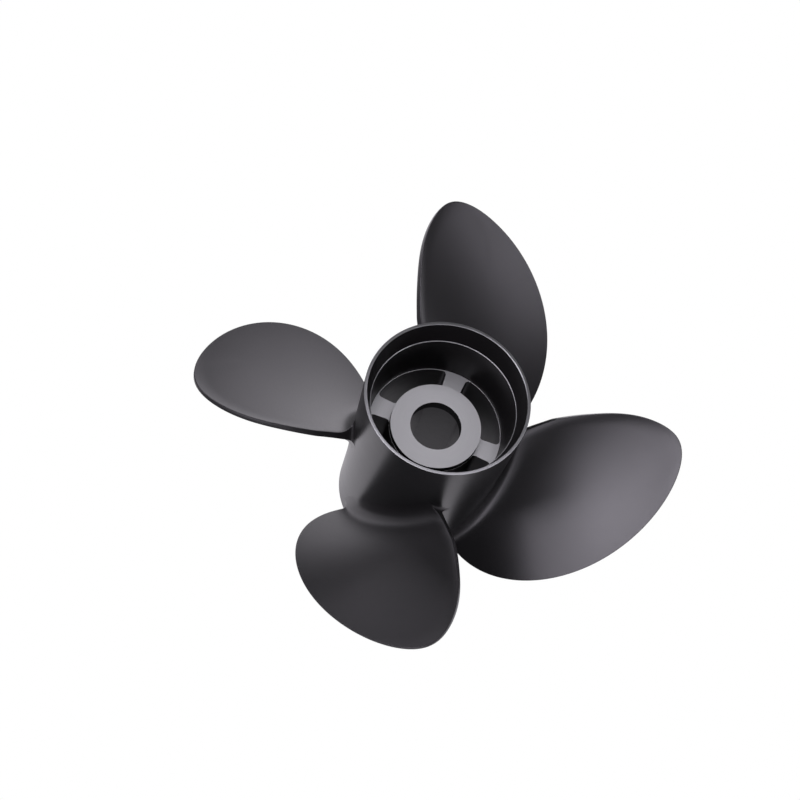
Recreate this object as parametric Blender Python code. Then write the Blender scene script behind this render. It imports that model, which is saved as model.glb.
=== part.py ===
# Outboard motor propeller: four raked blades on a through-hub exhaust barrel.
# The real one is a single aluminium casting, painted black and then faced off
# inside the after end. It is built here in its natural portions: the outer
# barrel, the inner hub, the ribs that join them, and the blades.
# Metres. Z is the shaft axis, +Z is aft. Z = 0 is the forward end of the barrel.

import math

import bpy
import bmesh

# overall
LENGTH = 0.1608            # forward end of the barrel to the after rim
TIP_RADIUS = 0.1752        # to the blade tips
GAP = 0.0003               # clearance between neighbouring portions
SEGMENTS = 72              # facets round the barrel and the hub

# outer barrel, outside: radius at each height, from forward to aft
BARREL_OUTSIDE = [(0.0000, 0.0530), (0.0012, 0.0536), (0.0363, 0.0540),
                  (0.1424, 0.0581), (0.1602, 0.0586), (0.1608, 0.0583)]
# outer barrel, inside
RIM_INNER = 0.0563         # at the after rim
LEDGE_DEPTH = 0.0170       # narrow ledge below the rim
LEDGE_RADIUS = 0.0515
LEDGE_STEP = 0.0007
RIB_TOP_DEPTH = 0.0536     # rim to the after ends of the ribs
WALL_RADIUS = 0.0472       # exhaust passage wall at the rib tops
WALL_RADIUS_FWD = 0.0480   # exhaust passage wall at its forward end
SOCKET_DEPTH = 0.0180      # recess that takes the end of the gearcase
SOCKET_RADIUS = 0.0500

# inner hub
HUB_FACE_DEPTH = 0.0478    # rim to the after face of the hub
HUB_FORWARD = 0.0240       # height of the forward thrust face
HUB_RADIUS = 0.0326
HUB_EDGE = 0.0009          # broken edge round both faces
LIP_RADIUS = 0.0184        # round opening in the after face
LIP_LENGTH = 0.0085
DRIVE_HALF = 0.0225        # rounded square socket for the drive sleeve
DRIVE_CORNER = 0.0120

# ribs
RIB_COUNT = 4
RIB_AZIMUTH = math.radians(-20.5)
RIB_FORWARD = 0.0280
RIB_HALF_INNER = 0.00675   # half width near the hub
RIB_HALF_OUTER = 0.00790   # half width near the barrel
RIB_FILLET = 0.0032

# blades
BLADE_COUNT = 4
BLADE_AZIMUTH = math.radians(-27.47)
PITCH = 0.4289
ROOT_RADIUS = 0.0585
MID_ROOT_Z = 0.0601        # height of the middle of the root
RAKE = (0.0553, -0.0093)   # rise towards the tip, linear and squared
ROOT_FILLET = 0.0090
LEADING_EDGE = 0.0016      # thickness at the leading edge
TRAILING_ROOT = 0.0042     # thickness of the square trailing edge at the root
TRAILING_TIP = 0.0034      # and at the tip
BULGE_ROOT = 0.0072        # extra fullness of the forward face at the root
BULGE_TIP = 0.0010
CHORD_CELLS = 20
FILLET_ROWS = 4
SPAN_ROWS = 14
ROOT_CELLS = 6             # cells across the foot of a blade


def clear_scene():
    for item in list(bpy.data.objects):
        bpy.data.objects.remove(item, do_unlink=True)


def paint(name, colour, metallic, roughness):
    mat = bpy.data.materials.new(name)
    mat.use_nodes = True
    shader = mat.node_tree.nodes["Principled BSDF"]
    shader.inputs["Base Color"].default_value = colour
    shader.inputs["Metallic"].default_value = metallic
    shader.inputs["Roughness"].default_value = roughness
    return mat


def make_object(name, verts, faces, mat, smooth_angle):
    mesh = bpy.data.meshes.new(name)
    mesh.from_pydata(verts, [], faces)
    work = bmesh.new()
    work.from_mesh(mesh)
    bmesh.ops.recalc_face_normals(work, faces=work.faces)
    for edge in work.edges:
        if len(edge.link_faces) == 2:
            edge.smooth = edge.calc_face_angle() < smooth_angle
    for face in work.faces:
        face.smooth = True
    work.to_mesh(mesh)
    work.free()
    mesh.materials.append(mat)
    obj = bpy.data.objects.new(name, mesh)
    bpy.context.collection.objects.link(obj)
    return obj


def ring_body(name, rings, mat):
    """Closed body from a closed loop of rings; a ring is (radius function, height)."""
    verts = []
    for radius_at, height in rings:
        for i in range(SEGMENTS):
            angle = RIB_AZIMUTH + 2 * math.pi * i / SEGMENTS
            radius = radius_at(angle - RIB_AZIMUTH)
            verts.append((radius * math.cos(angle), radius * math.sin(angle), height))
    faces = []
    count = len(rings)
    for j in range(count):
        low = j * SEGMENTS
        high = ((j + 1) % count) * SEGMENTS
        for i in range(SEGMENTS):
            k = (i + 1) % SEGMENTS
            faces.append((low + i, low + k, high + k, high + i))
    return make_object(name, verts, faces, mat, math.radians(28))


def circle(radius):
    return lambda angle: radius


def rounded_square(half, corner):
    """Radius of a square with rounded corners at an angle from a flat's middle."""
    centre = half - corner

    def radius_at(angle):
        turn = abs((angle + math.pi / 4) % (math.pi / 2) - math.pi / 4)
        if math.tan(turn) * half <= centre:
            return half / math.cos(turn)
        side = math.cos(turn) + math.sin(turn)
        inside = corner ** 2 - centre ** 2 * (1 - math.sin(2 * turn))
        return centre * side + math.sqrt(max(inside, 0.0))

    return radius_at


def barrel_outside(height):
    """Outside radius of the barrel at a height."""
    points = BARREL_OUTSIDE
    for (z0, r0), (z1, r1) in zip(points, points[1:]):
        if height <= z1:
            share = max(0.0, (height - z0) / (z1 - z0))
            return r0 + (r1 - r0) * share
    return points[-1][1]


def build_barrel(mat):
    ledge = LENGTH - LEDGE_DEPTH
    rib_top = LENGTH - RIB_TOP_DEPTH
    rings = [(circle(radius), height) for height, radius in BARREL_OUTSIDE]
    rings.append((circle(RIM_INNER + 0.0004), LENGTH))
    rings.append((circle(RIM_INNER), LENGTH - 0.0005))
    rings.append((circle(LEDGE_RADIUS + LEDGE_STEP), ledge))
    rings.append((circle(LEDGE_RADIUS), ledge - 0.0002))
    rings.append((circle(WALL_RADIUS + 0.0008), rib_top))
    rings.append((circle(WALL_RADIUS), rib_top - 0.0002))
    rings.append((circle(WALL_RADIUS_FWD), SOCKET_DEPTH + 0.004))
    rings.append((circle(SOCKET_RADIUS), SOCKET_DEPTH))
    rings.append((circle(SOCKET_RADIUS), 0.0006))
    rings.append((circle(SOCKET_RADIUS + 0.0005), 0.0))
    return ring_body("outer_barrel", rings, mat)


def build_hub(mat):
    top = LENGTH - HUB_FACE_DEPTH
    drive = rounded_square(DRIVE_HALF, DRIVE_CORNER)
    drive_wide = rounded_square(DRIVE_HALF + 0.0008, DRIVE_CORNER + 0.0008)
    rings = [
        (circle(HUB_RADIUS - HUB_EDGE), HUB_FORWARD),
        (circle(HUB_RADIUS), HUB_FORWARD + HUB_EDGE),
        (circle(HUB_RADIUS), top - HUB_EDGE),
        (circle(HUB_RADIUS - HUB_EDGE), top),
        (circle(LIP_RADIUS + 0.0007), top),
        (circle(LIP_RADIUS), top - 0.0007),
        (circle(LIP_RADIUS), top - LIP_LENGTH),
        (drive, top - LIP_LENGTH),
        (drive, HUB_FORWARD + 0.0008),
        (drive_wide, HUB_FORWARD),
    ]
    return ring_body("inner_hub", rings, mat)


def fillet(distance, radius):
    """Sideways reach of a quarter-round fillet at a distance from its foot."""
    if distance >= radius:
        return 0.0
    return radius - math.sqrt(max(0.0, radius ** 2 - (radius - distance) ** 2))


def rib_half_width(radius):
    near = HUB_RADIUS + GAP
    far = WALL_RADIUS - GAP
    share = (radius - near) / (far - near)
    half = RIB_HALF_INNER + (RIB_HALF_OUTER - RIB_HALF_INNER) * share
    return half + fillet(radius - near, RIB_FILLET) + fillet(far - radius, RIB_FILLET)


def build_rib(index, mat):
    """One rib: the same outline at three heights, following the passage wall."""
    turn = RIB_AZIMUTH + index * 2 * math.pi / RIB_COUNT
    top = LENGTH - RIB_TOP_DEPTH
    near = HUB_RADIUS + GAP
    steps = [0.0, 0.03, 0.12, 0.26, 0.5, 0.74, 0.88, 0.97, 1.0]
    across = 6
    verts = []
    rows = []
    for height in (RIB_FORWARD, top):
        share = (top - height) / (top - SOCKET_DEPTH - 0.004)
        far = WALL_RADIUS + (WALL_RADIUS_FWD - WALL_RADIUS) * share - GAP
        row = []
        for step in steps:
            radius = near + (far - near) * step
            reach = near + (WALL_RADIUS - GAP - near) * step
            half = rib_half_width(reach)
            for k in range(across + 1):
                angle = math.asin(half / radius) * (2 * k / across - 1) + turn
                row.append(len(verts))
                verts.append((radius * math.cos(angle), radius * math.sin(angle), height))
        rows.append(row)
    faces = []
    wide = across + 1
    last = len(steps) - 1
    for row in rows:
        for j in range(last):
            for k in range(across):
                a = j * wide + k
                faces.append((row[a], row[a + 1], row[a + wide + 1], row[a + wide]))
    loop = list(range(wide))
    loop += [j * wide + across for j in range(1, last + 1)]
    loop += [last * wide + k for k in range(across - 1, -1, -1)]
    loop += [j * wide for j in range(last - 1, 0, -1)]
    low, high = rows
    for a, b in zip(loop, loop[1:] + loop[:1]):
        faces.append((low[a], low[b], high[b], high[a]))
    return make_object("rib_%d" % (index + 1), verts, faces, mat, math.radians(35))


def half_angle(x):
    """Half the angle a blade covers at x, which runs 0 at the root to 1 at the tip."""
    x = min(max(x, 0.0), 1.0)
    u = 2 * x - 1
    body = 0.5962 - 0.0363 * u - 0.0382 * (2 * u * u - 1) - 0.0035 * (4 * u ** 3 - 3 * u)
    return body * math.sqrt(max(0.0, 1 - x ** 1.4108))


def middle_angle(x):
    """Angle of the middle of the blade at x: the blade sweeps back to the tip."""
    x = max(x, 0.0)
    return -0.0169 * x + 0.5354 * x ** 2 - 0.4277 * x ** 3 + 0.2597 * x ** 4


def blade_point(chord, span, side):
    """A point of the blade at the reference angle.

    chord runs -1 at the leading edge to 1 at the trailing edge, span runs 0 at
    the barrel to 1 at the tip, side runs -1 on the forward face to 1 on the
    after face.
    """
    height = MID_ROOT_Z
    for _ in range(8):
        foot = barrel_outside(height) + GAP
        radius = foot + span * (TIP_RADIUS - foot)
        x = (radius - ROOT_RADIUS) / (TIP_RADIUS - ROOT_RADIUS)
        flare = fillet(radius - foot, ROOT_FILLET)
        along = middle_angle(x) + chord * (half_angle(x) + 0.5 * flare / radius)
        share = (chord + 1) / 2
        edge = TRAILING_ROOT + (TRAILING_TIP - TRAILING_ROOT) * max(x, 0.0)
        bulge = BULGE_TIP + (BULGE_ROOT - BULGE_TIP) * max(1 - x, 0.0) ** 1.2
        thick = LEADING_EDGE + (edge - LEADING_EDGE) * share
        thick += bulge * 2.4 * share ** 0.8 * (1 - share)
        reach = flare * (1 - 0.75 * chord ** 8)
        offset = reach * (1 + side) / 2 - (thick + reach) * (1 - side) / 2
        slope = math.atan2(PITCH, 2 * math.pi * radius)
        angle = along - offset * math.sin(slope) / radius
        height = MID_ROOT_Z + PITCH * along / (2 * math.pi)
        height += RAKE[0] * x + RAKE[1] * x * abs(x) + offset * math.cos(slope)
    return angle, radius, height


def span_steps():
    """Rows of a blade: close together in the root fillet and towards the tip."""
    fillet_share = ROOT_FILLET / (TIP_RADIUS - ROOT_RADIUS)
    steps = [fillet_share * (j / FILLET_ROWS) ** 2 for j in range(FILLET_ROWS)]
    rest = 0.9993 - fillet_share
    for j in range(SPAN_ROWS + 1):
        steps.append(fillet_share + rest * math.sin(math.pi / 2 * j / SPAN_ROWS))
    return steps


def build_blade(index, mat):
    turn = BLADE_AZIMUTH + index * 2 * math.pi / BLADE_COUNT
    verts = []

    def add(chord, span, side):
        angle, radius, height = blade_point(chord, span, side)
        angle += turn
        verts.append((radius * math.cos(angle), radius * math.sin(angle), height))
        return len(verts) - 1

    chords = [2 * i / CHORD_CELLS - 1 for i in range(CHORD_CELLS + 1)]
    rows = []
    for span in span_steps():
        after = [add(chord, span, 1.0) for chord in chords]
        ahead = [add(chord, span, -1.0) for chord in chords]
        rows.append((after, ahead))
    faces = []
    for (after, ahead), (after_up, ahead_up) in zip(rows, rows[1:]):
        for i in range(CHORD_CELLS):
            faces.append((after[i], after[i + 1], after_up[i + 1], after_up[i]))
            faces.append((ahead[i + 1], ahead[i], ahead_up[i], ahead_up[i + 1]))
        faces.append((ahead[0], after[0], after_up[0], ahead_up[0]))
        faces.append((after[-1], ahead[-1], ahead_up[-1], after_up[-1]))
    after, ahead = rows[-1]
    for i in range(CHORD_CELLS):
        faces.append((after[i], after[i + 1], ahead[i + 1], ahead[i]))
    foot = [rows[0][0]]
    for k in range(1, ROOT_CELLS):
        side = 1 - 2 * k / ROOT_CELLS
        foot.append([add(chord, 0.0, side) for chord in chords])
    foot.append(rows[0][1])
    for near, far in zip(foot, foot[1:]):
        for i in range(CHORD_CELLS):
            faces.append((near[i], near[i + 1], far[i + 1], far[i]))
    # the two ends of the foot meet the first row of the edges
    ends = [[row[0] for row in foot], [row[-1] for row in foot]]
    first = rows[0]
    second = rows[1]
    for end, pick in ((ends[0], 0), (ends[1], -1)):
        quad = {first[1][pick], first[0][pick], second[0][pick], second[1][pick]}
        faces = [face for face in faces if set(face) != quad]
        faces.append(tuple(end) + (second[1][pick], second[0][pick]))
    return make_object("blade_%d" % (index + 1), verts, faces, mat, math.radians(40))


def build():
    clear_scene()
    barrel_paint = paint("barrel_black", (0.018, 0.018, 0.019, 1), 0.0, 0.34)
    blade_paint = paint("blade_black", (0.020, 0.020, 0.021, 1), 0.0, 0.30)
    hub_metal = paint("hub_metal", (0.42, 0.42, 0.41, 1), 0.9, 0.42)
    rib_metal = paint("rib_metal", (0.40, 0.40, 0.39, 1), 0.9, 0.45)
    build_barrel(barrel_paint)
    build_hub(hub_metal)
    for index in range(RIB_COUNT):
        build_rib(index, rib_metal)
    for index in range(BLADE_COUNT):
        build_blade(index, blade_paint)


build()
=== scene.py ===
import math

import bpy
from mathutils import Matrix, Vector


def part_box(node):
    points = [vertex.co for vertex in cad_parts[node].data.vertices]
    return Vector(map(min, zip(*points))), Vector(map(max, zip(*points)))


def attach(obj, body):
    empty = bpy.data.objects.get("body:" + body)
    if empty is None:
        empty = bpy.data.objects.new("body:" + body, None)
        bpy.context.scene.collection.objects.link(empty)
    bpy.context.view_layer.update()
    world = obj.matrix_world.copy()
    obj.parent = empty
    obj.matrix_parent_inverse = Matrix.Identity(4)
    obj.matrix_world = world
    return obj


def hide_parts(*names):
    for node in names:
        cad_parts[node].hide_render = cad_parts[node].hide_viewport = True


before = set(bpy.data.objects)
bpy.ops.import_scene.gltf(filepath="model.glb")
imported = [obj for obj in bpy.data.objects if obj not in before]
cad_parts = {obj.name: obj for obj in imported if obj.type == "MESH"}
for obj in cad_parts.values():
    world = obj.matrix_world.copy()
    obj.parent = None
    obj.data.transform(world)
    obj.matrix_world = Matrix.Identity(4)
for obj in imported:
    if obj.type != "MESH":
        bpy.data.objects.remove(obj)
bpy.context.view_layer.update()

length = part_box("outer_barrel")[1][2]       # forward end to after rim, metres


# Outer barrel
# The outside of the casting: a tube that widens a little towards its after rim,
# where the exhaust leaves. Cast aluminium, sprayed satin black, then turned
# bright on the rim and on the narrow ledge inside it.

def linear(hex_colour):
    """sRGB hex to the linear colour that shaders take."""
    parts = [int(hex_colour[i:i + 2], 16) / 255 for i in (1, 3, 5)]
    return [p / 12.92 if p <= 0.04045 else ((p + 0.055) / 1.055) ** 2.4 for p in parts] + [1.0]


def new_material(name):
    material = bpy.data.materials.new(name)
    material.use_nodes = True
    material.node_tree.nodes.clear()
    return material


def add_node(material, kind, settings=None, inputs=None):
    """One node: its settings, then each input as a value or as another node's output."""
    tree = material.node_tree
    node = tree.nodes.new(kind)
    for key, value in (settings or {}).items():
        setattr(node, key, value)
    for key, value in (inputs or {}).items():
        if isinstance(value, bpy.types.NodeSocket):
            tree.links.new(value, node.inputs[key])
        else:
            node.inputs[key].default_value = value
    return node


def around_shaft(material, across, along):
    """Object coordinates turned into (radius, angle, height), scaled for a pattern
    that runs round the shaft: fine across the marks, long along them."""
    place = add_node(material, "ShaderNodeTexCoord").outputs["Object"]
    parts = add_node(material, "ShaderNodeSeparateXYZ", None, {"Vector": place})
    flat = add_node(material, "ShaderNodeCombineXYZ", None,
                    {"X": parts.outputs["X"], "Y": parts.outputs["Y"], "Z": 0.0})
    radius = add_node(material, "ShaderNodeVectorMath", {"operation": "LENGTH"}, {0: flat.outputs[0]})
    angle = add_node(material, "ShaderNodeMath", {"operation": "ARCTAN2"},
                     {0: parts.outputs["Y"], 1: parts.outputs["X"]})
    pattern = add_node(material, "ShaderNodeCombineXYZ", None,
                       {"X": radius.outputs["Value"], "Y": angle.outputs[0], "Z": parts.outputs["Z"]})
    return add_node(material, "ShaderNodeVectorMath", {"operation": "MULTIPLY"},
                    {0: pattern.outputs[0], 1: (across, along, across)}).outputs[0]


def satin_black(name, colour, roughness, marks, mark_depth, gloss=0.5):
    """Satin black enamel over worked aluminium: an almost neutral dark grey that
    mirrors the lights softly. The paint keeps a trace of the sanding marks under it.
    marks is their number to the metre across and to the radian along, which is
    coarser than real ones, so that they show."""
    mottle_size, grain_size = 0.0263, 0.000625      # metres
    material = new_material(name)
    place = add_node(material, "ShaderNodeTexCoord").outputs["Object"]
    streak = add_node(material, "ShaderNodeTexNoise", None,
                      {"Vector": around_shaft(material, *marks), "Scale": 1.0, "Detail": 4.0,
                       "Roughness": 0.65})
    mottle = add_node(material, "ShaderNodeTexNoise", None,
                      {"Vector": place, "Scale": 1 / mottle_size, "Detail": 3.0, "Roughness": 0.55})
    grain = add_node(material, "ShaderNodeTexNoise", None,
                     {"Vector": place, "Scale": 1 / grain_size, "Detail": 2.0, "Roughness": 0.6})
    worked = add_node(material, "ShaderNodeMix", {"data_type": "FLOAT"},
                      {"Factor": 0.45, "A": streak.outputs["Fac"], "B": grain.outputs["Fac"]})
    dull = add_node(material, "ShaderNodeMapRange", None,
                    {"Value": worked.outputs[0], "From Min": 0.3, "From Max": 0.7,
                     "To Min": roughness - 0.035, "To Max": roughness + 0.035})
    shade = add_node(material, "ShaderNodeMix", {"data_type": "RGBA"},
                     {"Factor": mottle.outputs["Fac"], "A": linear(colour[0]), "B": linear(colour[1])})
    bump = add_node(material, "ShaderNodeBump", None,
                    {"Strength": mark_depth, "Distance": 0.0002, "Height": worked.outputs[0]})
    shader = add_node(material, "ShaderNodeBsdfPrincipled", None,
                      {"Base Color": shade.outputs["Result"], "Roughness": dull.outputs[0],
                       "Metallic": 0.0, "IOR": 1.5, "Specular IOR Level": gloss,
                       "Specular Tint": (0.97, 0.95, 1.0, 1.0),
                       "Normal": bump.outputs[0]})
    add_node(material, "ShaderNodeOutputMaterial", None, {"Surface": shader.outputs[0]})
    return material


def turned_bare(name, colour, roughness, ring_pitch):
    """Bare aluminium off the lathe: pale and matt, with fine rings round the shaft."""
    rings_along = 1.6       # pattern cells to the radian
    material = new_material(name)
    rings = add_node(material, "ShaderNodeTexNoise", None,
                     {"Vector": around_shaft(material, 1 / ring_pitch, rings_along), "Scale": 1.0,
                      "Detail": 3.0, "Roughness": 0.7})
    shade = add_node(material, "ShaderNodeMix", {"data_type": "RGBA"},
                     {"Factor": rings.outputs["Fac"], "A": linear(colour[0]), "B": linear(colour[1])})
    dull = add_node(material, "ShaderNodeMapRange", None,
                    {"Value": rings.outputs["Fac"], "From Min": 0.3, "From Max": 0.7,
                     "To Min": roughness - 0.06, "To Max": roughness + 0.06})
    bump = add_node(material, "ShaderNodeBump", None,
                    {"Strength": 0.25, "Distance": 0.0001, "Height": rings.outputs["Fac"]})
    shader = add_node(material, "ShaderNodeBsdfPrincipled", None,
                      {"Base Color": shade.outputs["Result"], "Roughness": dull.outputs[0],
                       "Metallic": 1.0, "Normal": bump.outputs[0]})
    add_node(material, "ShaderNodeOutputMaterial", None, {"Surface": shader.outputs[0]})
    return material


def clear_selection():
    bpy.ops.object.select_all(action="DESELECT")


def turned_shell(name, stations, facets):
    """A turned wall: a circle extruded ring by ring right round its section, then closed."""
    clear_selection()
    radius, height = stations[0]
    bpy.ops.mesh.primitive_circle_add(vertices=facets, radius=radius)
    piece = bpy.context.object
    piece.name = piece.data.name = name
    bpy.ops.object.mode_set(mode="EDIT")
    bpy.ops.mesh.select_mode(type="EDGE")
    bpy.ops.mesh.select_all(action="SELECT")
    bpy.ops.transform.translate(value=(0, 0, height))
    for next_radius, next_height in stations[1:]:
        bpy.ops.mesh.extrude_region_move(
            TRANSFORM_OT_translate={"value": (0, 0, next_height - height)})
        grow = next_radius / radius
        bpy.ops.transform.resize(value=(grow, grow, 1), center_override=(0, 0, next_height))
        radius, height = next_radius, next_height
    bpy.ops.mesh.select_all(action="DESELECT")
    bpy.ops.mesh.select_non_manifold()
    bpy.ops.mesh.bridge_edge_loops()
    bpy.ops.mesh.select_all(action="SELECT")
    bpy.ops.mesh.normals_make_consistent(inside=False)
    bpy.ops.object.mode_set(mode="OBJECT")
    return piece


def apply_modifier(piece, kind, settings):
    clear_selection()
    piece.select_set(True)
    bpy.context.view_layer.objects.active = piece
    modifier = piece.modifiers.new(kind.lower(), kind)
    for key, value in settings.items():
        setattr(modifier, key, value)
    bpy.ops.object.modifier_apply(modifier=modifier.name)


def smooth_by_angle(piece, degrees):
    clear_selection()
    piece.select_set(True)
    bpy.context.view_layer.objects.active = piece
    bpy.ops.object.shade_smooth_by_angle(angle=math.radians(degrees))


rim_radius, rim_crest, rim_inner = 0.0586, 0.0567, 0.0563
rim_drop, rim_edge = 0.0005, 0.0005
ledge_height, ledge_radius, ledge_width = length - 0.0170, 0.0515, 0.0005
web_height, web_radius = length - 0.0536, 0.0472
wall_foot, web_step, web_step_fall = web_radius + 0.0009, web_radius + 0.0004, 0.001
passage_mouth, passage_end = web_radius + 0.0014, 0.022
recess_radius, recess_depth = 0.0500, 0.018
turned_facets = 192

outside = [(0.0536, 0.0), (0.0540, 0.0363), (0.0581, 0.1424), (rim_radius, length - rim_drop)]
inside = [
    (rim_crest, length), (rim_inner, length - rim_edge),
    (ledge_radius + ledge_width, ledge_height), (ledge_radius, ledge_height),
    (wall_foot, web_height), (web_step, web_height - web_step_fall),
    (passage_mouth, passage_end), (recess_radius, recess_depth), (recess_radius, 0.0),
]
barrel = turned_shell("barrel", outside + inside, turned_facets)
apply_modifier(barrel, "BEVEL", {"width": 0.00015, "segments": 2, "limit_method": "ANGLE",
                                 "angle_limit": math.radians(25)})
barrel_paint = satin_black("satin_black_enamel_on_turned_casting", ("#141415", "#181819"), 0.33,
                           (900.0, 1.5), 0.10)
rim_metal = turned_bare("lathe_turned_aluminium_rim", ("#929395", "#a5a5a8"), 0.35, 0.0004)
# Inside the barrel the enamel takes a darker colour and a weak gloss: painted shade for its dim inner
# walls.
barrel_inside_shade = satin_black("black_enamel_with_painted_shade_inside_barrel", ("#0e0d0e", "#131213"), 0.34,
                            (700.0, 1.5), 0.15, gloss=0.05)
barrel.data.materials.append(barrel_paint)
barrel.data.materials.append(rim_metal)
barrel.data.materials.append(barrel_inside_shade)
close = 0.0002
for face in barrel.data.polygons:
    centre = face.center
    radius = math.hypot(centre.x, centre.y)
    on_rim = centre.z > length - rim_drop - close and radius < rim_radius - close
    on_ledge = abs(centre.z - ledge_height) < close
    if on_rim or on_ledge:
        face.material_index = 1
    # faces that look inwards take the darker inside enamel, which is painted shade
    elif face.normal.x * centre.x + face.normal.y * centre.y < 0:
        face.material_index = 2
smooth_by_angle(barrel, 20)
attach(barrel, "root")
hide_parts("outer_barrel")


# Inner hub and its ribs
# One body with the barrel in the real casting: a thick sleeve round the drive
# socket, held by ribs with the exhaust passages between them. The core of the
# mould leaves rounded corners. The after face and the rib ends are turned bright.

hub_height, hub_radius = length - 0.0478, 0.0326
lip_radius, lip_length = 0.0184, 0.0085
hub_forward, web_forward = 0.024, 0.028
web_overlap = 0.0007        # how far the ribs run into the barrel's wall
rib_azimuth = math.radians(-20.5)
rib_half_inner, rib_half_outer = 0.0067, 0.0077
passage_corner_inner, passage_corner_outer = 0.0028, 0.0038
overcut, cut_through = 0.0002, 0.002


def prism_from_outline(name, outline, low, high):
    """A circle primitive pulled into an outline and extruded upwards."""
    clear_selection()
    bpy.ops.mesh.primitive_circle_add(vertices=len(outline), radius=0.01, fill_type="NGON")
    piece = bpy.context.object
    piece.name = name
    for vertex, (x, y) in zip(piece.data.vertices, outline):
        vertex.co = (x, y, low)
    bpy.ops.object.mode_set(mode="EDIT")
    bpy.ops.mesh.select_all(action="SELECT")
    bpy.ops.mesh.extrude_region_move(TRANSFORM_OT_translate={"value": (0, 0, high - low)})
    bpy.ops.mesh.select_all(action="SELECT")
    bpy.ops.mesh.normals_make_consistent(inside=False)
    bpy.ops.object.mode_set(mode="OBJECT")
    return piece


def passage_outline():
    """Plan of one exhaust passage, the space between two ribs, sleeve and barrel, as
    its points and the size of the round at each."""
    half_turn = math.radians(45)
    corners, radii = [], []

    def side_point(radius, half, sign):
        angle = half_turn - math.asin(half / radius)
        return (radius * math.cos(sign * angle), radius * math.sin(sign * angle))

    inner = hub_radius + overcut
    outer = web_radius + overcut
    arc = 24
    edge = half_turn - math.asin(rib_half_outer / outer)
    corners.append(side_point(inner, rib_half_inner, -1))
    radii.append(passage_corner_inner)
    for i in range(arc + 1):
        angle = edge * (2 * i / arc - 1)
        corners.append((outer * math.cos(angle), outer * math.sin(angle)))
        radii.append(0.0 if 0 < i < arc else passage_corner_outer)
    corners.append(side_point(inner, rib_half_inner, 1))
    radii.append(passage_corner_inner)
    edge = half_turn - math.asin(rib_half_inner / inner)
    for i in range(1, arc):
        angle = edge * (1 - 2 * i / arc)
        corners.append((inner * math.cos(angle), inner * math.sin(angle)))
        radii.append(0.0)
    return corners, radii


def turned_by(points, angle):
    cosine, sine = math.cos(angle), math.sin(angle)
    return [(x * cosine - y * sine, x * sine + y * cosine) for x, y in points]


def soft_corners(points, radii, steps=6):
    """Rounds the corners that have a radius, walking back along the outline for it."""
    count = len(points)
    vectors = [Vector(p) for p in points]

    def walk(index, step, distance):
        place = vectors[index]
        while True:
            following = vectors[(index + step) % count]
            span = (following - place).length
            if span >= distance:
                return place + (following - place) * (distance / span), (index + step) % count
            distance -= span
            place, index = following, (index + step) % count

    cuts = {}
    for i, size in enumerate(radii):
        if size:
            back, back_index = walk(i, -1, size)
            ahead, ahead_index = walk(i, 1, size)
            cuts[i] = (back, back_index, ahead, ahead_index)
    dropped = set()
    for i, (_, back_index, _, ahead_index) in cuts.items():
        k = (back_index + 1) % count
        while k != ahead_index:
            dropped.add(k)
            k = (k + 1) % count
    outline = []
    for i in range(count):
        if i in cuts:
            back, _, ahead, _ = cuts[i]
            for k in range(steps + 1):
                share = k / steps
                blend = back * (1 - share) ** 2 + vectors[i] * (2 * share * (1 - share))
                outline.append(tuple(blend + ahead * share ** 2))
        elif i not in dropped:
            outline.append(points[i])
    return outline


hub_section = [
    (lip_radius, hub_height), (hub_radius, hub_height), (hub_radius, web_height),
    (web_radius + web_overlap, web_height), (web_radius + web_overlap, web_forward),
    (hub_radius, web_forward), (hub_radius, hub_forward), (lip_radius, hub_forward),
]
hub = turned_shell("hub_and_ribs", hub_section, turned_facets)
plain_passage = soft_corners(*passage_outline())
cutters = []
for k in range(4):
    turn = rib_azimuth + math.radians(45 + 90 * k)
    cutters.append(prism_from_outline("passage", turned_by(plain_passage, turn),
                                      web_forward - cut_through, web_height + cut_through))
socket_half, socket_corner = 0.0225, 0.0095
clear_selection()
bpy.ops.mesh.primitive_cube_add(size=1, location=(0, 0, 0))
socket = bpy.context.object
socket_top, socket_low = hub_height - lip_length, hub_forward - cut_through
for vertex in socket.data.vertices:
    x, y = vertex.co.x * 2 * socket_half, vertex.co.y * 2 * socket_half
    vertex.co = (x, y, socket_top if vertex.co.z > 0 else socket_low)
bpy.ops.object.mode_set(mode="EDIT")
bpy.ops.mesh.select_all(action="DESELECT")
bpy.ops.object.mode_set(mode="OBJECT")
for edge in socket.data.edges:
    low, high = (socket.data.vertices[i].co for i in edge.vertices)
    edge.select = abs(low.z - high.z) > socket_half     # the four upright ones
bpy.ops.object.mode_set(mode="EDIT")
bpy.ops.mesh.select_mode(type="EDGE")
bpy.ops.mesh.bevel(offset=socket_corner, segments=1, affect="EDGES")
bpy.ops.object.mode_set(mode="OBJECT")
for vertex in socket.data.vertices:
    (x, y), = turned_by([vertex.co.xy], rib_azimuth)
    vertex.co.xy = (x, y)
cutters.append(socket)
for cutter in cutters:
    apply_modifier(hub, "BOOLEAN", {"operation": "DIFFERENCE", "solver": "EXACT", "object": cutter})
    bpy.data.objects.remove(cutter, do_unlink=True)
apply_modifier(hub, "BEVEL", {"width": 0.0002, "segments": 2, "limit_method": "ANGLE",
                              "angle_limit": math.radians(50)})
hub_paint = satin_black("satin_black_enamel_inside_casting", ("#111112", "#151516"), 0.45,
                        (500.0, 4.0), 0.2)
hub_metal = turned_bare("lathe_faced_aluminium_hub", ("#b7b8ba", "#cbcbcc"), 0.42, 0.00035)
# The lip of the socket and the sleeve's side above the ribs take a near-black, dull enamel: painted
# shade for the shadowed lip and the dark gap beside the rib ends.
hub_shade = satin_black("painted_shade_black_on_hub_side_and_lip", ("#09090a", "#0e0e0f"), 0.60,
                        (500.0, 4.0), 0.2, gloss=0.06)
hub.data.materials.append(hub_paint)
hub.data.materials.append(hub_metal)
hub.data.materials.append(hub_shade)
close = 0.0003
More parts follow.
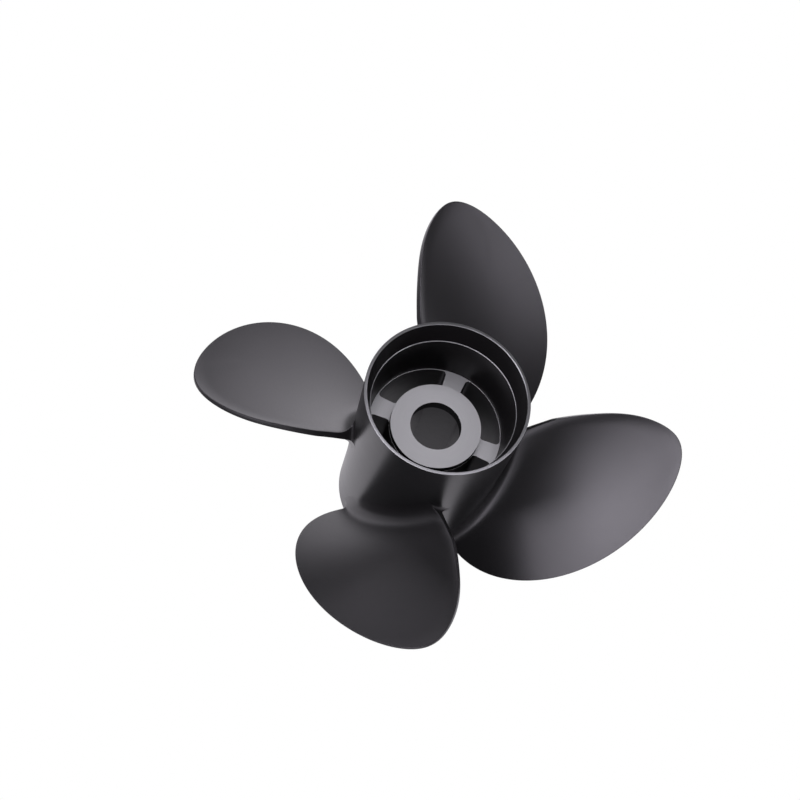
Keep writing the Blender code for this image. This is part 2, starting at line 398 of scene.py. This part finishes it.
for face in hub.data.polygons:
    centre = face.center
    radius = math.hypot(centre.x, centre.y)
    off_turned = min(abs(centre.z - hub_height), abs(centre.z - web_height))
    turned_after = face.normal.z > 0.9 and off_turned < close
    turned_forward = face.normal.z < -0.9 and abs(centre.z - hub_forward) < close
    lip_wall = centre.z > socket_top and radius < lip_radius + close
    hub_side = centre.z > web_height and radius > hub_radius - close
    if turned_after or turned_forward:
        face.material_index = 1
    # the lip and the sleeve's side take that painted shade
    elif lip_wall or hub_side:
        face.material_index = 2
smooth_by_angle(hub, 20)
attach(hub, "root")
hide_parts("inner_hub", "rib_1", "rib_2", "rib_3", "rib_4")


# Blades
# Cast with the barrel and ground to shape: each is a twisted, raked sheet with
# a thin leading edge and a thick square trailing edge that is cupped aft. A
# broad fillet joins it to the barrel. Sanded, then sprayed satin black.

tip_radius, root_radius = 0.1750, 0.0585
pitch, mid_root_height = 0.4289, 0.0601
blade_azimuth = math.radians(-27.47)
after_fillet, forward_fillet, fillet_ease = 0.0148, 0.0035, 1.3
leading_fillet, leading_reach = 0.0045, 0.0100
trailing_after_fillet, trailing_forward_fillet, trailing_reach = 0.0158, 0.0045, 0.0045
after_round, forward_round = 0.0005, 0.0004
cup_height, cup_width, cup_power = 0.0009, 0.0085, 2.5
cup_start, cup_span = 0.3, 0.4              # from leading (0) to trailing (1)
leading_edge, trailing_edge, tip_thinning = 0.0016, 0.0046, 0.0008
tip_bulge, root_bulge, bulge_fade = 0.0012, 0.00744, 1.2
edge_band = 0.02                            # from the edge's thickness to the full one
rake, rake_ease = 0.0553, 0.0093
foot_overlap = 0.00006                      # how far the blade's foot is sunk in the barrel
dip_reach = 1.05                            # a fillet's reach there, in fillet sizes
middle_draw, middle_power = 0.28, 2.5       # how the blade's middle line falls short of its tip
tip_blend = 0.5                             # where leading and trailing sides are fully apart
outline_cells, side_cells, edge_cells = 220, 30, 5
row_crowding = 1.7                          # rows lie closer together towards the edge

# The outline, fitted to the edges that show: the width as a short series, the sweep as powers
outline_widths, tip_roundness = (0.5962, 0.0363, 0.0382, 0.0035), 1.4108
sweep = (-0.0169, 0.5354, -0.4277, 0.2597)
fuller_by, fuller_from, fuller_span = 0.00115, 0.42, 0.60
drawn_in_by, drawn_in_span = 0.0042, 0.24


def barrel_radius(height):
    """Outside radius of the barrel, straight between its stations."""
    for (low_radius, low), (high_radius, high) in zip(outside, outside[1:]):
        if height < high:
            break
    return low_radius + (high_radius - low_radius) * (height - low) / (high - low)


def smooth_step(value):
    value = min(max(value, 0.0), 1.0)
    return value * value * (3 - 2 * value)


def half_angle(x):
    """Half the angle that the blade covers, x from 0 at the root to 1 at the tip."""
    x = min(max(x, 0.0), 1.0)
    u = 2 * x - 1
    even, first, second, third = outline_widths
    body = even - first * u - second * (2 * u * u - 1) - third * (4 * u ** 3 - 3 * u)
    return body * math.sqrt(1 - x ** tip_roundness)


def middle_angle(x):
    """Sweep: the angle of the blade's middle line."""
    x = max(x, 0.0)
    return sum(term * x ** (power + 1) for power, term in enumerate(sweep))


def trailing_fullness(x):
    """How far the trailing side stands out past the even outline, in metres: drawn in
    near the hub, and fuller towards the tip."""
    along_tip = min(max((x - fuller_from) / fuller_span, 0.0), 1.0)
    near_hub = max(0.0, 1 - max(x, 0.0) / drawn_in_span)
    return fuller_by * math.sin(math.pi * along_tip) ** 2 - drawn_in_by * near_hub


def fillet_reach(rise, size):
    """Sideways reach of a fillet that eases into the blade, a little more where it dips
    into the barrel."""
    rise = min(rise / size, 1.0)
    if rise <= 0:
        return size * dip_reach
    return size * (1 - math.sqrt(1 - (1 - rise) ** 2)) ** fillet_ease


def edge_thickness(x, chord):
    """Thickness along the blade's edge, chord from 0, leading, to 1, trailing."""
    trailing = trailing_edge - tip_thinning * x
    return leading_edge + (trailing - leading_edge) * chord


def blade_point(outline_at, across):
    """outline_at runs -1 at the leading root, 0 at the tip, 1 at the trailing root.
    across runs from the middle of the after face (-1) round the edge (0) to the
    middle of the forward face (1), in whole cells."""
    side = math.copysign(1.0, outline_at)
    near_root = 1 - (1 - abs(outline_at)) ** 2
    x_edge = 1 - near_root ** 2
    x_middle = x_edge - middle_draw * x_edge ** middle_power
    width = half_angle(x_edge)
    radius = root_radius + (tip_radius - root_radius) * x_edge
    slope = math.atan2(pitch, 2 * math.pi * radius)
    ray = math.hypot(width * radius / math.cos(slope), (x_edge - x_middle) * (tip_radius - root_radius))
    apart = side * smooth_step(near_root / tip_blend)
    trailing = 0.5 * (1 + apart)
    thickness_at_edge = edge_thickness(x_edge, trailing)
    nose = min(after_round if across <= 0 else forward_round, thickness_at_edge / 2)

    # distance in from the edge, and depth below the after face
    cells = round(abs(across) * (side_cells + edge_cells))
    if cells == 0:
        inset, sink = 0.0, thickness_at_edge / 2
    elif cells <= edge_cells:
        arc = math.pi / 2 * (cells - 1) / (edge_cells - 1)
        inset, sink = nose * (1 - math.cos(arc)), nose * (1 - math.sin(arc))
    else:
        share = (cells - edge_cells) / side_cells
        inset, sink = nose + (ray - nose) * share ** row_crowding, 0.0
    depth = min(inset / ray, 1.0)
    x = x_edge + (x_middle - x_edge) * depth
    angle_off = side * width * (1 - depth)
    chord = 0.5 * (1 + apart * (1 - depth))

    bulge = tip_bulge + root_bulge * max(1 - x, 0.0) ** bulge_fade
    thick = edge_thickness(x, chord) + bulge * (1 - (1 - depth) ** 2)
    cup = cup_height * smooth_step((trailing - cup_start) / cup_span)
    after = cup * max(0.0, 1 - inset / cup_width) ** cup_power - cup_height * smooth_step(chord)
    if across <= 0:
        offset = after - sink
    else:
        blend = smooth_step((inset - nose) / edge_band)
        offset = after - thickness_at_edge * (1 - blend) - thick * blend + sink

    # place on the cylinder, with the fillet against the barrel
    height = mid_root_height
    for _ in range(6):
        foot = barrel_radius(height)
        radius = foot + x * (tip_radius - foot)
        if x <= 0:
            radius = foot - foot_overlap
        at_end = min(abs(angle_off) / max(width, 1e-6), 1.0)
        face_fillet = after_fillet if across <= 0 else forward_fillet
        edge_fillet = leading_fillet
        if side > 0:
            edge_fillet = trailing_after_fillet if across <= 0 else trailing_forward_fillet
        size = edge_fillet + (face_fillet - edge_fillet) * (1 - at_end ** 3)
        reach = fillet_reach(radius - foot, size)
        share = (radius - root_radius) / (tip_radius - root_radius)
        end_reach = fillet_reach(radius - foot, trailing_reach if side > 0 else leading_reach)
        slope = math.atan2(pitch, 2 * math.pi * radius)
        if side > 0:
            end_reach += trailing_fullness(share)
        spread = half_angle(share) / half_angle(x) if x < 0.9999 else 1.0
        along = middle_angle(share) + angle_off * spread
        along += side * at_end * end_reach * math.cos(slope) / radius
        push = offset + (reach if across <= 0 else -reach)
        if cells <= edge_cells:
            push = offset + reach * (2 * (offset - after) / thickness_at_edge + 1)
        angle = along - push * math.sin(slope) / radius
        height = mid_root_height + pitch * along / (2 * math.pi)
        height += rake * share - rake_ease * share * abs(share) + push * math.cos(slope)
    return radius, angle, height


def shaped_blade(name):
    """A grid primitive wrapped round the blade: its columns follow the outline from
    root to tip to root, its rows run over both faces and the edge between them."""
    clear_selection()
    rows = 2 * (side_cells + edge_cells)
    bpy.ops.mesh.primitive_grid_add(x_subdivisions=outline_cells, y_subdivisions=rows, size=2)
    piece = bpy.context.object
    piece.name = piece.data.name = name
    for vertex in piece.data.vertices:
        radius, angle, height = blade_point(vertex.co.x, vertex.co.y)
        vertex.co = (radius * math.cos(angle), radius * math.sin(angle), height)
    bpy.ops.object.mode_set(mode="EDIT")
    bpy.ops.mesh.select_all(action="SELECT")
    bpy.ops.mesh.remove_doubles(threshold=0.00001)
    bpy.ops.mesh.select_all(action="DESELECT")
    bpy.ops.mesh.select_mode(type="EDGE")
    bpy.ops.mesh.select_non_manifold()
    bpy.ops.mesh.edge_face_add()
    bpy.ops.mesh.select_all(action="SELECT")
    bpy.ops.mesh.normals_make_consistent(inside=False)
    bpy.ops.object.mode_set(mode="OBJECT")
    return piece


blade_paint = satin_black("satin_black_enamel_on_sanded_blade", ("#141415", "#191819"), 0.36,
                          (700.0, 5.0), 0.12)
first_blade = shaped_blade("blade_pattern")
first_blade.data.materials.append(blade_paint)
smooth_by_angle(first_blade, 60)
for number, letter in enumerate("abcd"):
    mesh = first_blade.data.copy()
    angle = blade_azimuth + math.radians(90) * number
    cosine, sine = math.cos(angle), math.sin(angle)
    for vertex in mesh.vertices:
        x, y, z = vertex.co
        vertex.co = (x * cosine - y * sine, x * sine + y * cosine, z)
    blade = bpy.data.objects.new("blade_" + letter, mesh)
    bpy.context.collection.objects.link(blade)
    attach(blade, "root")
    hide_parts("blade_%d" % (number + 1))
bpy.data.objects.remove(first_blade, do_unlink=True)


# Studio: a plain white table, a pale surround and soft boxes over the part

def table_plane(name, height):
    clear_selection()
    bpy.ops.mesh.primitive_plane_add(size=12, location=(0, 0, height))
    plane = bpy.context.object
    plane.name = plane.data.name = name
    return plane


# what the camera sees: plain white
table = table_plane("table", -0.0002)
table.visible_diffuse = table.visible_glossy = table.visible_shadow = False
table_white = new_material("white_table")
glow = add_node(table_white, "ShaderNodeEmission", None, {"Color": (1, 1, 1, 1), "Strength": 1.0})
add_node(table_white, "ShaderNodeOutputMaterial", None, {"Surface": glow.outputs[0]})
table.data.materials.append(table_white)

# what the part is lit by: a table brighter on its far right side, in shade under the part
table_light = table_plane("table_light", -0.0006)
table_light.visible_camera = False
table_glow = new_material("table_glow")
table_place = add_node(table_glow, "ShaderNodeTexCoord").outputs["Object"]
far_right = (math.cos(math.radians(65)), math.sin(math.radians(65)), 0)
table_across = add_node(table_glow, "ShaderNodeVectorMath", {"operation": "DOT_PRODUCT"},
                        {0: table_place, 1: far_right})
table_reach = add_node(table_glow, "ShaderNodeVectorMath", {"operation": "LENGTH"}, {0: table_place})
slope_light = add_node(table_glow, "ShaderNodeMapRange", None,
                       {"Value": table_across.outputs["Value"], "From Min": -0.30, "From Max": 0.30,
                        "To Min": 0.19, "To Max": 2.0})
open_share = add_node(table_glow, "ShaderNodeMapRange", None,
                      {"Value": table_reach.outputs["Value"], "From Min": 0.050, "From Max": 0.056,
                       "To Min": 0.60, "To Max": 1.0})
table_strength = add_node(table_glow, "ShaderNodeMath", {"operation": "MULTIPLY"},
                          {0: slope_light.outputs[0], 1: open_share.outputs[0]})
glow = add_node(table_glow, "ShaderNodeEmission", None,
                {"Color": (0.97, 0.94, 1.0, 1), "Strength": table_strength.outputs[0]})
add_node(table_glow, "ShaderNodeOutputMaterial", None, {"Surface": glow.outputs[0]})
table_light.data.materials.append(table_glow)

world = bpy.data.worlds.new("studio")
world.use_nodes = True
world.node_tree.nodes["Background"].inputs["Color"].default_value = (1, 1, 1, 1)
world.node_tree.nodes["Background"].inputs["Strength"].default_value = 0.05
bpy.context.scene.world = world


def soft_box(name, azimuth, elevation, size, brightness, colour=(0.965, 0.935, 1.0), distance=2.5):
    """A soft box that faces the part, as bright as it looks from there (white is 1)."""
    azimuth, elevation = math.radians(azimuth), math.radians(elevation)
    away = Vector((math.cos(elevation) * math.cos(azimuth), math.cos(elevation) * math.sin(azimuth),
                   math.sin(elevation)))
    clear_selection()
    bpy.ops.object.light_add(type="AREA", location=away * distance + Vector((0, 0, 0.08)))
    lamp = bpy.context.object
    lamp.name = name
    lamp.data.shape = "RECTANGLE"
    lamp.data.size, lamp.data.size_y = size
    lamp.data.color = colour
    lamp.data.energy = brightness * math.pi * size[0] * size[1]
    lamp.rotation_euler = (-away).to_track_quat("-Z", "Y").to_euler()


soft_box("left_box", -154, 62, (1.4, 1.7), 5.3)
soft_box("left_low_box", -179, 42, (1.3, 1.5), 5.7)
soft_box("right_box", -20, 52, (1.4, 0.75), 5.1)
soft_box("front_box", -95, 9, (2.4, 0.7), 4.4)
soft_box("back_strip", 50, 8, (2.9, 0.7), 2.2)
soft_box("back_fill", 110, 18, (1.2, 1.1), 1.1)
soft_box("top_box", 75, 68, (1.2, 0.9), 1.0)
soft_box("overhead_box", -12, 78, (0.6, 0.6), 2.6)

camera_place, camera_turn = (-0.26901, -0.71522, 1.62539), (25.53865, -9.27277, 0.29396)
film_width, focal_length = 36, 107.64       # millimetres
bpy.ops.object.camera_add(location=camera_place, rotation=[math.radians(a) for a in camera_turn])
camera = bpy.context.object
camera.data.sensor_width = film_width
camera.data.lens = focal_length
camera.data.clip_end = 50
bpy.context.scene.camera = camera
bpy.context.scene.view_settings.view_transform = "Standard"
